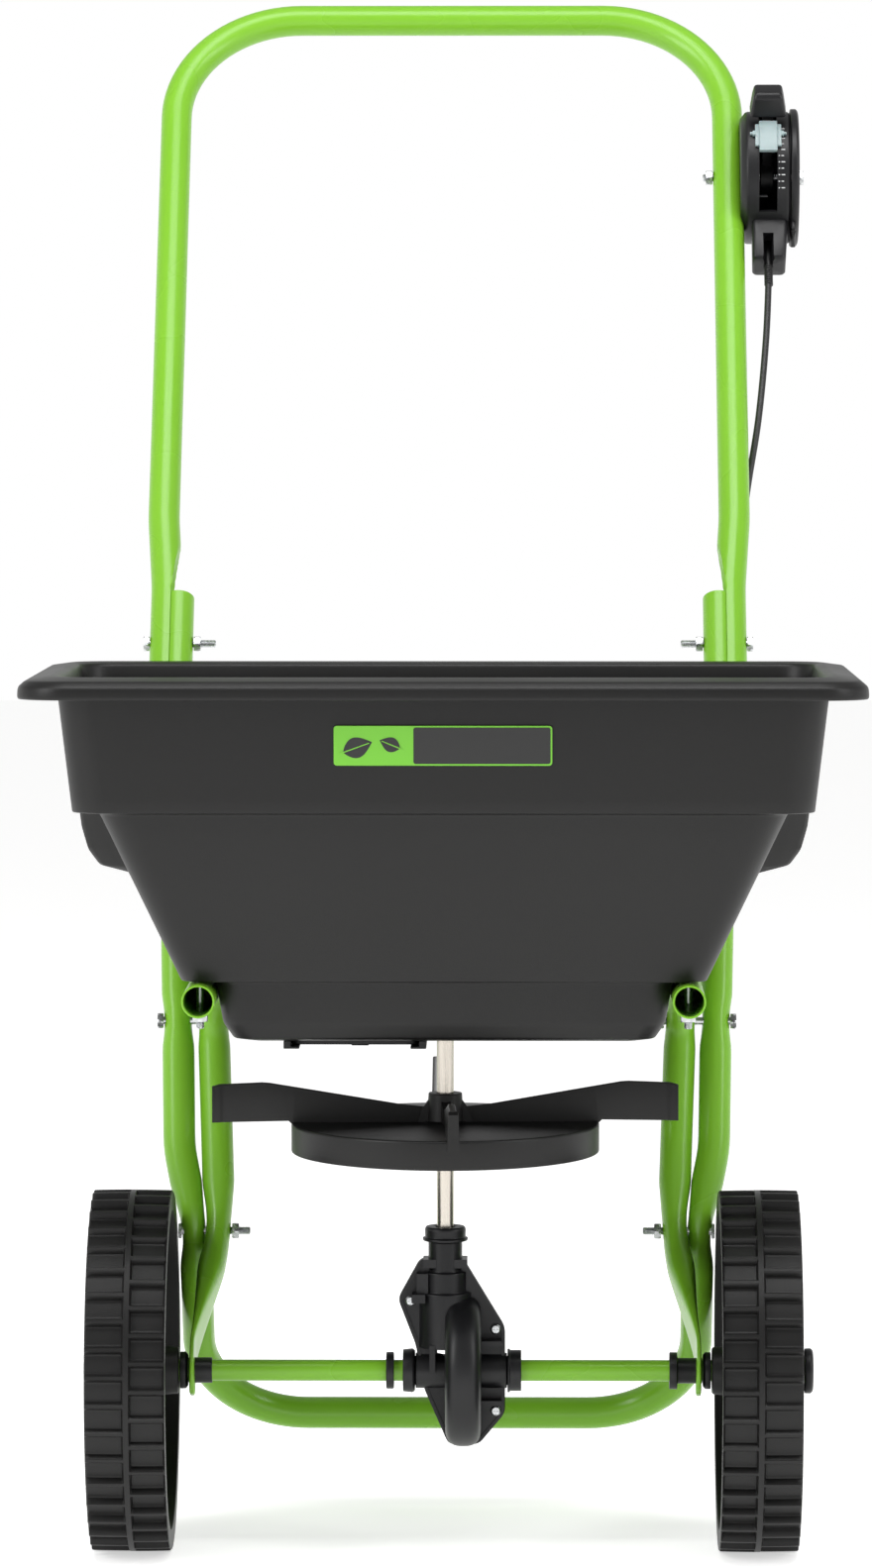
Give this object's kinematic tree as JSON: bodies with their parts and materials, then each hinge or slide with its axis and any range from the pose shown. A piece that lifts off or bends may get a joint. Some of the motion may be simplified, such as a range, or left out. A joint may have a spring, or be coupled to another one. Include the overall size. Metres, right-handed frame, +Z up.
{
  "type": "garden spreader",
  "caption": "Two-wheeled push spreader: bent tube frame and handle, hopper with a lever-worked shutter, and a bladed impeller geared to the axle.",
  "frame": {"origin": "on the floor, under the middle of the bounding box", "axes": "+Z up, +X to the right as seen from the front, the front faces -Y"},
  "size_m": [0.578, 0.766, 1.1115],
  "materials": {
    "green_powder_coat": "glossy green powder coat on steel tube",
    "black_polypropylene": "satin moulded polypropylene with a fine grain",
    "black_nylon": "satin moulded nylon",
    "grey_acetal": "pale grey-blue moulded acetal",
    "zinc_plated_steel": "bright zinc plating",
    "bright_steel": "bright drawn steel bar",
    "cable_sleeve": "black plastic cable sleeve",
    "green_label": "plain green and black label"
  },
  "bodies": {
    "frame": {"stand_frame": "green_powder_coat", "side_tube_left": "green_powder_coat", "side_tube_right": "green_powder_coat", "handle": "green_powder_coat", "handle_bolt_left": "zinc_plated_steel", "handle_bolt_right": "zinc_plated_steel", "handle_nut_left": "zinc_plated_steel", "handle_nut_right": "zinc_plated_steel", "upper_frame_bolt_left": "zinc_plated_steel", "upper_frame_bolt_right": "zinc_plated_steel", "upper_frame_nut_left": "zinc_plated_steel", "upper_frame_nut_right": "zinc_plated_steel", "lower_frame_bolt_left": "zinc_plated_steel", "lower_frame_bolt_right": "zinc_plated_steel", "lower_frame_nut_left": "zinc_plated_steel", "lower_frame_nut_right": "zinc_plated_steel", "hopper_bolt_left": "zinc_plated_steel", "hopper_bolt_right": "zinc_plated_steel", "hopper_nut_left": "zinc_plated_steel", "hopper_nut_right": "zinc_plated_steel", "control_bolt": "zinc_plated_steel", "control_nut": "zinc_plated_steel", "gearbox_screw_1": "zinc_plated_steel", "gearbox_screw_2": "zinc_plated_steel", "gearbox_screw_3": "zinc_plated_steel", "cable_bracket": "zinc_plated_steel", "cable_end_tube": "zinc_plated_steel", "hopper": "black_polypropylene", "shutter_guide_left": "black_nylon", "shutter_guide_right": "black_nylon", "shaft_bush": "black_nylon", "gearbox_front": "black_nylon", "gearbox_rear": "black_nylon", "gearbox_cap": "black_nylon", "gearbox_bush_left": "black_nylon", "gearbox_bush_right": "black_nylon", "axle_bush_left": "black_nylon", "axle_bush_right": "black_nylon", "control_shell_left": "black_nylon", "control_shell_right": "black_nylon", "cable": "cable_sleeve", "hopper_label": "green_label"},
    "drive_axle": {"axle": "green_powder_coat", "ring_gear": "black_nylon", "wheel_right": "black_polypropylene", "hub_cap_right": "black_nylon", "axle_collar": "black_nylon", "wheel_spacer_left": "black_nylon", "wheel_spacer_right": "black_nylon", "axle_clip_left": "zinc_plated_steel"},
    "free_wheel": {"wheel_left": "black_polypropylene"},
    "impeller_drive": {"impeller_shaft": "bright_steel", "pinion": "black_nylon", "impeller": "black_polypropylene", "agitator": "black_nylon"},
    "rate_lever": {"rate_lever": "black_nylon", "rate_pointer": "grey_acetal"},
    "shutter": {"shutter": "black_nylon", "shutter_wire": "zinc_plated_steel"}
  },
  "joints": [
    {"name": "axle_spin", "type": "hinge", "parent": "frame", "child": "drive_axle", "pos_m": [0, -0.1732, 0.127], "axis": [1, 0, 0], "continuous": true},
    {"name": "left_wheel_spin", "type": "hinge", "parent": "frame", "child": "free_wheel", "pos_m": [-0.22, -0.1732, 0.127], "axis": [1, 0, 0], "continuous": true},
    {"name": "impeller_spin", "type": "hinge", "parent": "frame", "child": "impeller_drive", "pos_m": [0, -0.1732, 0.127], "axis": [0, -0.0349, 0.9994], "continuous": true},
    {"name": "lever_turn", "type": "hinge", "parent": "frame", "child": "rate_lever", "pos_m": [0.2385, 0.28246, 0.977], "axis": [1, 0, 0], "range_deg": [0, 60]},
    {"name": "shutter_slide", "type": "slide", "parent": "frame", "child": "shutter", "axis": [0, 1, 0], "range_m": [0, 0.03]}
  ],
  "couplings": [
    {"joint": "impeller_spin", "follows": "axle_spin", "ratio": -4},
    {"joint": "shutter_slide", "follows": "lever_turn", "m_per_rad": 0.0285}
  ]
}
